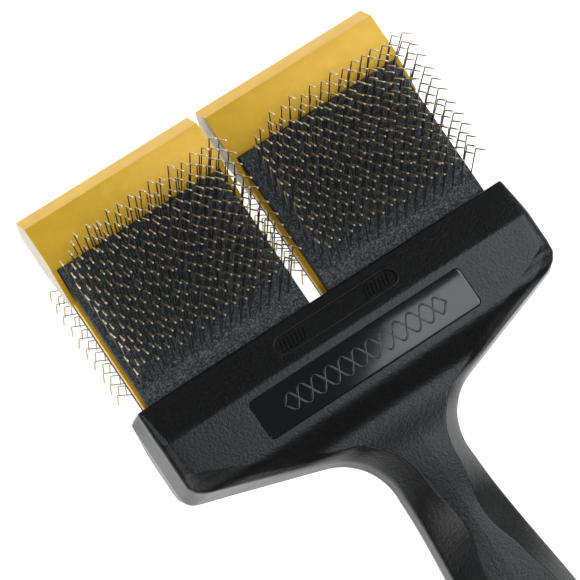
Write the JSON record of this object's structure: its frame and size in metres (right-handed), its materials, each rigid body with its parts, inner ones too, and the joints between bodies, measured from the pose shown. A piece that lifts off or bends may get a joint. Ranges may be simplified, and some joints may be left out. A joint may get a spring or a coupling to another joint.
{
  "type": "slicker brush",
  "caption": "Wide double-sided slicker brush: a black two-shell handle holds two springy gold plates side by side, each with dark pads of fine hooked steel wires on both faces.",
  "frame": {"origin": "middle of the whole brush's bounding box, on the parting plane between the two handle shells", "axes": "+X across the brush, +Y along the handle toward the tip of the heads, +Z out of the front pin face"},
  "size_m": [0.1244, 0.2146, 0.0468],
  "materials": {
    "handle_plastic": "black, fine satin texture",
    "label_gloss": "polished black",
    "gold_plastic": "satin metallic gold",
    "pad_foam": "charcoal with fine speckle",
    "wire_steel": "bright wire"
  },
  "bodies": {
    "handle": {"handle_front_shell": "handle_plastic", "handle_rear_shell": "handle_plastic", "front_label_plate": "label_gloss", "rear_label_plate": "label_gloss", "left_plate_root": "gold_plastic", "right_plate_root": "gold_plastic"},
    "left_head": {"left_flex_plate": "gold_plastic", "left_front_cap": "gold_plastic", "left_rear_cap": "gold_plastic", "left_front_pad": "pad_foam", "left_rear_pad": "pad_foam", "left_front_pin_card": "wire_steel", "left_rear_pin_card": "wire_steel"},
    "right_head": {"right_flex_plate": "gold_plastic", "right_front_cap": "gold_plastic", "right_rear_cap": "gold_plastic", "right_front_pad": "pad_foam", "right_rear_pad": "pad_foam", "right_front_pin_card": "wire_steel", "right_rear_pin_card": "wire_steel"}
  },
  "joints": [
    {"name": "left_head_flex", "type": "hinge", "parent": "handle", "child": "left_head", "pos_m": [-0.0293, 0.0425, 0], "axis": [1, 0, 0], "range_deg": [-10, 10], "stiffness_Nm_per_rad": 3},
    {"name": "right_head_flex", "type": "hinge", "parent": "handle", "child": "right_head", "pos_m": [0.0293, 0.0425, 0], "axis": [1, 0, 0], "range_deg": [-10, 10], "stiffness_Nm_per_rad": 3}
  ]
}
